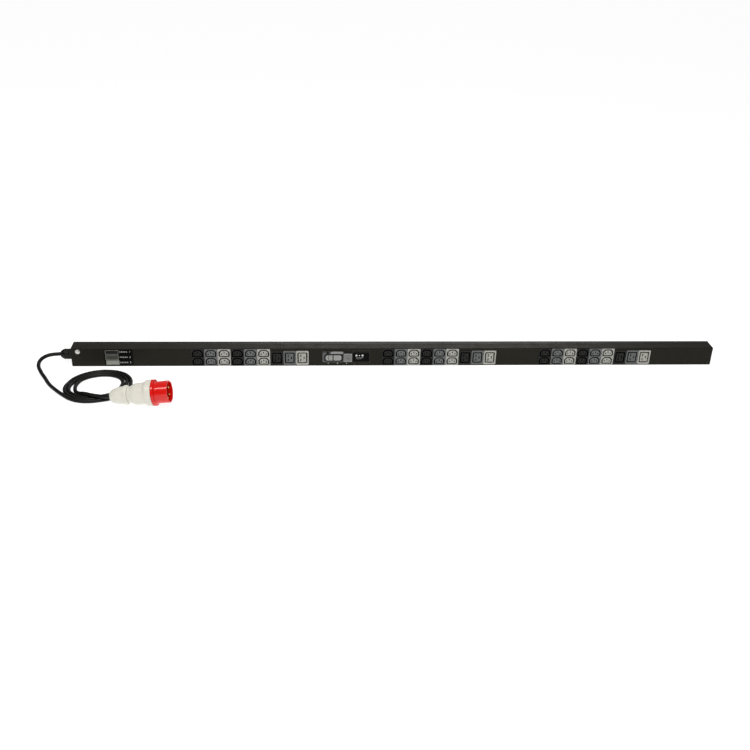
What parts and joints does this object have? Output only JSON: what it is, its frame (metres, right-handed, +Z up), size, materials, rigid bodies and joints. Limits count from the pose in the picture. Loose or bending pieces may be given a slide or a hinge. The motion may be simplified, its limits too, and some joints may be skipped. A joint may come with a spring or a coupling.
{
  "type": "rack power strip",
  "caption": "Long black steel rack power strip with banks of appliance outlets in three phase tones, a small meter panel and a coiled lead with a red five-pin industrial plug.",
  "frame": {"origin": "under the middle of the strip, on the surface that its lower side wall lies on; the free lead, its plug and gland do not count", "axes": "+X along the strip away from the gland, -Y out of the outlet face, +Z up from the lower side wall"},
  "size_m": [1.8654, 0.2966, 0.0724],
  "materials": {
    "housing_coat": "fine-textured black powder coat",
    "end_cap_coat": "black powder coat",
    "outlet_black": "moulded black thermoplastic, satin",
    "outlet_grey": "moulded dark grey thermoplastic, satin",
    "outlet_pale": "moulded light grey thermoplastic, satin",
    "gland_nylon": "moulded black nylon",
    "cord_jacket": "smooth black flexible jacket",
    "plug_shell": "moulded warm light grey polyamide",
    "plug_red": "moulded red polyamide, semi-gloss",
    "pin_carrier": "moulded dark grey insert",
    "pin_brass": "turned brass",
    "zinc_steel": "bright zinc plate",
    "label_film": "printed polyester film",
    "meter_frame": "moulded grey frame",
    "screen_window": "tinted window",
    "display_panel": "reflective display panel",
    "circuit_board": "green solder mask",
    "key_grey": "moulded grey key",
    "button_black": "moulded black button",
    "light_guide": "clear moulded light guide"
  },
  "bodies": {
    "chassis": {"bank1_c13_twin_1": "outlet_black", "bank1_c13_twin_2": "outlet_grey", "bank1_c13_twin_3": "outlet_pale", "bank1_c13_twin_4": "outlet_black", "bank1_c13_twin_5": "outlet_grey", "bank1_c13_twin_6": "outlet_pale", "bank1_c19_1": "outlet_black", "bank1_c19_2": "outlet_grey", "bank1_c19_3": "outlet_pale", "bank2_c13_twin_1": "outlet_black", "bank2_c13_twin_2": "outlet_grey", "bank2_c13_twin_3": "outlet_pale", "bank2_c13_twin_4": "outlet_black", "bank2_c13_twin_5": "outlet_grey", "bank2_c13_twin_6": "outlet_pale", "bank2_c19_1": "outlet_black", "bank2_c19_2": "outlet_grey", "bank2_c19_3": "outlet_pale", "bank3_c13_twin_1": "outlet_black", "bank3_c13_twin_2": "outlet_grey", "bank3_c13_twin_3": "outlet_pale", "bank3_c13_twin_4": "outlet_black", "bank3_c13_twin_5": "outlet_grey", "bank3_c13_twin_6": "outlet_pale", "bank3_c19_1": "outlet_black", "bank3_c19_2": "outlet_grey", "bank3_c19_3": "outlet_pale", "end_cap_left": "end_cap_coat", "end_cap_right": "end_cap_coat", "front_shell_left": "housing_coat", "front_shell_middle": "housing_coat", "front_shell_right": "housing_coat", "gland_body": "gland_nylon", "gland_dome_nut": "gland_nylon", "gland_locknut": "gland_nylon", "ground_screw": "zinc_steel", "ground_washer": "zinc_steel", "indicator_light_guide": "light_guide", "meter_bezel": "meter_frame", "meter_board": "circuit_board", "meter_display": "display_panel", "meter_window": "screen_window", "name_label": "label_film", "phase_legend_label": "label_film", "plug_body": "plug_shell", "plug_clamp_nut": "plug_shell", "plug_pin_carrier": "pin_carrier", "plug_pin_earth": "pin_brass", "plug_pin_line_1": "pin_brass", "plug_pin_line_2": "pin_brass", "plug_pin_line_3": "pin_brass", "plug_pin_neutral": "pin_brass", "plug_shroud": "plug_red", "power_cord_coil": "cord_jacket", "power_cord_lead": "cord_jacket", "power_cord_tail": "cord_jacket", "rear_shell_left": "housing_coat", "rear_shell_right": "housing_coat"},
    "select_key": {"select_key": "key_grey"},
    "round_button": {"round_button": "button_black"}
  },
  "joints": [
    {"name": "select_key_press", "type": "slide", "parent": "chassis", "child": "select_key", "axis": [0, 1, 0], "range_m": [0, 0.0008], "stiffness_N_per_m": 1800},
    {"name": "round_button_press", "type": "slide", "parent": "chassis", "child": "round_button", "axis": [0, 1, 0], "range_m": [0, 0.001], "stiffness_N_per_m": 1500}
  ]
}
